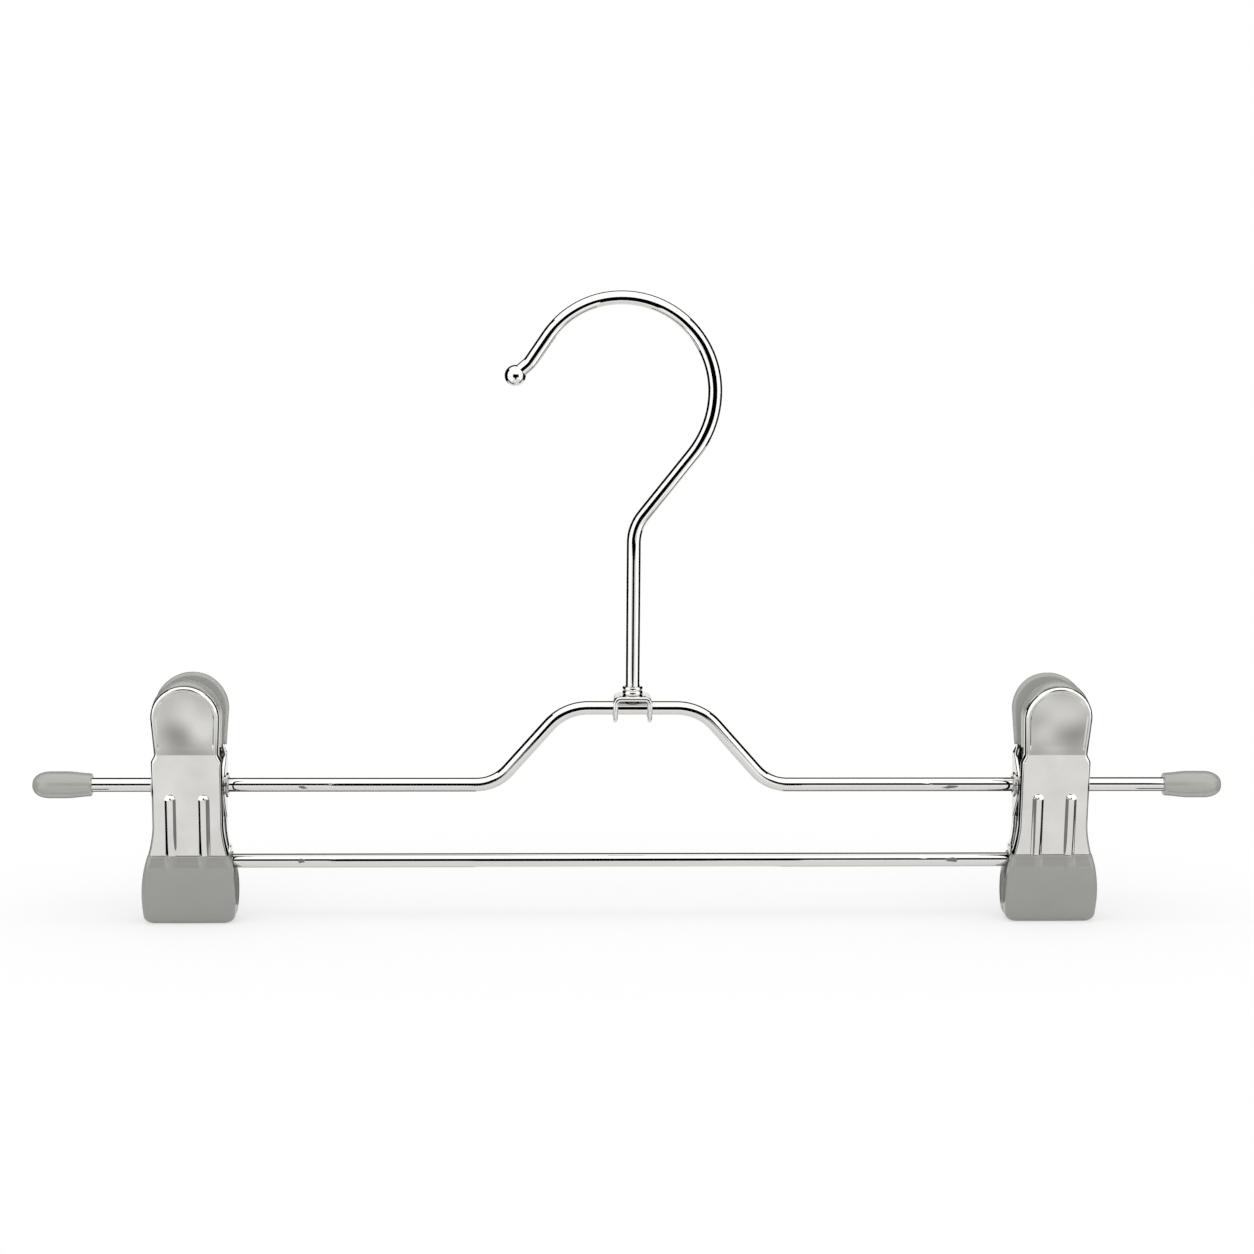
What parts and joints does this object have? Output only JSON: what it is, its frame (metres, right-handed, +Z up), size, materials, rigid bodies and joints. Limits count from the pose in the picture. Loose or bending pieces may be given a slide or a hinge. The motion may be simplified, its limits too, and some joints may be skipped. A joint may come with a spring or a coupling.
{
  "type": "trouser hanger",
  "caption": "Chromed wire trouser hanger with a swivelling hook, sprung clips with grey soft shoes that slide on the arms, and a telescopic lower bar.",
  "frame": {"origin": "the point inside the hook that sits on the rail, on the vertical axis of the hook's swivel", "axes": "+X along the arms to the right as the clips' ribbed faces are looked at, +Y away from the viewer, +Z up"},
  "size_m": [0.3, 0.021, 0.1592],
  "materials": {
    "chrome_plated_steel": "bright polished plating",
    "spring_steel": "drawn wire, lightly oiled",
    "grey_soft_vinyl": "satin, dipped"
  },
  "bodies": {
    "hook": {"hook_wire": "chrome_plated_steel", "hook_tip_ball": "chrome_plated_steel"},
    "frame": {"frame_wire": "chrome_plated_steel", "hook_saddle": "chrome_plated_steel", "swivel_ferrule": "chrome_plated_steel", "left_end_cap": "grey_soft_vinyl", "right_end_cap": "grey_soft_vinyl"},
    "trouser_bar": {"bar_tube": "chrome_plated_steel"},
    "left_clip": {"left_rear_jaw": "chrome_plated_steel", "left_rear_shoe": "grey_soft_vinyl", "left_rear_finger_grip": "grey_soft_vinyl", "left_pivot_eyelet": "chrome_plated_steel", "left_clip_spring": "spring_steel", "left_bar_rod": "chrome_plated_steel"},
    "left_front": {"left_front_jaw": "chrome_plated_steel", "left_front_shoe": "grey_soft_vinyl", "left_front_finger_grip": "grey_soft_vinyl"},
    "right_clip": {"right_rear_jaw": "chrome_plated_steel", "right_rear_shoe": "grey_soft_vinyl", "right_rear_finger_grip": "grey_soft_vinyl", "right_pivot_eyelet": "chrome_plated_steel", "right_clip_spring": "spring_steel", "right_bar_rod": "chrome_plated_steel"},
    "right_front": {"right_front_jaw": "chrome_plated_steel", "right_front_shoe": "grey_soft_vinyl", "right_front_finger_grip": "grey_soft_vinyl"}
  },
  "joints": [
    {"name": "hook_swivel", "type": "hinge", "parent": "hook", "child": "frame", "pos_m": [0, 0, -0.09725], "axis": [0, 0, 1], "continuous": true},
    {"name": "bar_swing", "type": "hinge", "parent": "frame", "child": "trouser_bar", "pos_m": [0, 0, -0.1208], "axis": [1, 0, 0], "range_deg": [-163, 163]},
    {"name": "left_clip_slide", "type": "slide", "parent": "trouser_bar", "child": "left_clip", "axis": [-1, 0, 0], "range_m": [0, 0.0143]},
    {"name": "right_clip_slide", "type": "slide", "parent": "trouser_bar", "child": "right_clip", "axis": [1, 0, 0], "range_m": [0, 0.0188]},
    {"name": "left_jaw_open", "type": "hinge", "parent": "left_clip", "child": "left_front", "pos_m": [-0.1109, 0, -0.1208], "axis": [-1, 0, 0], "range_deg": [0, 20], "stiffness_Nm_per_rad": 0.12, "springref_deg": -91.67, "deforming": ["left_clip_spring"]},
    {"name": "right_jaw_open", "type": "hinge", "parent": "right_clip", "child": "right_front", "pos_m": [0.1064, 0, -0.1208], "axis": [-1, 0, 0], "range_deg": [0, 20], "stiffness_Nm_per_rad": 0.12, "springref_deg": -91.67, "deforming": ["right_clip_spring"]}
  ]
}
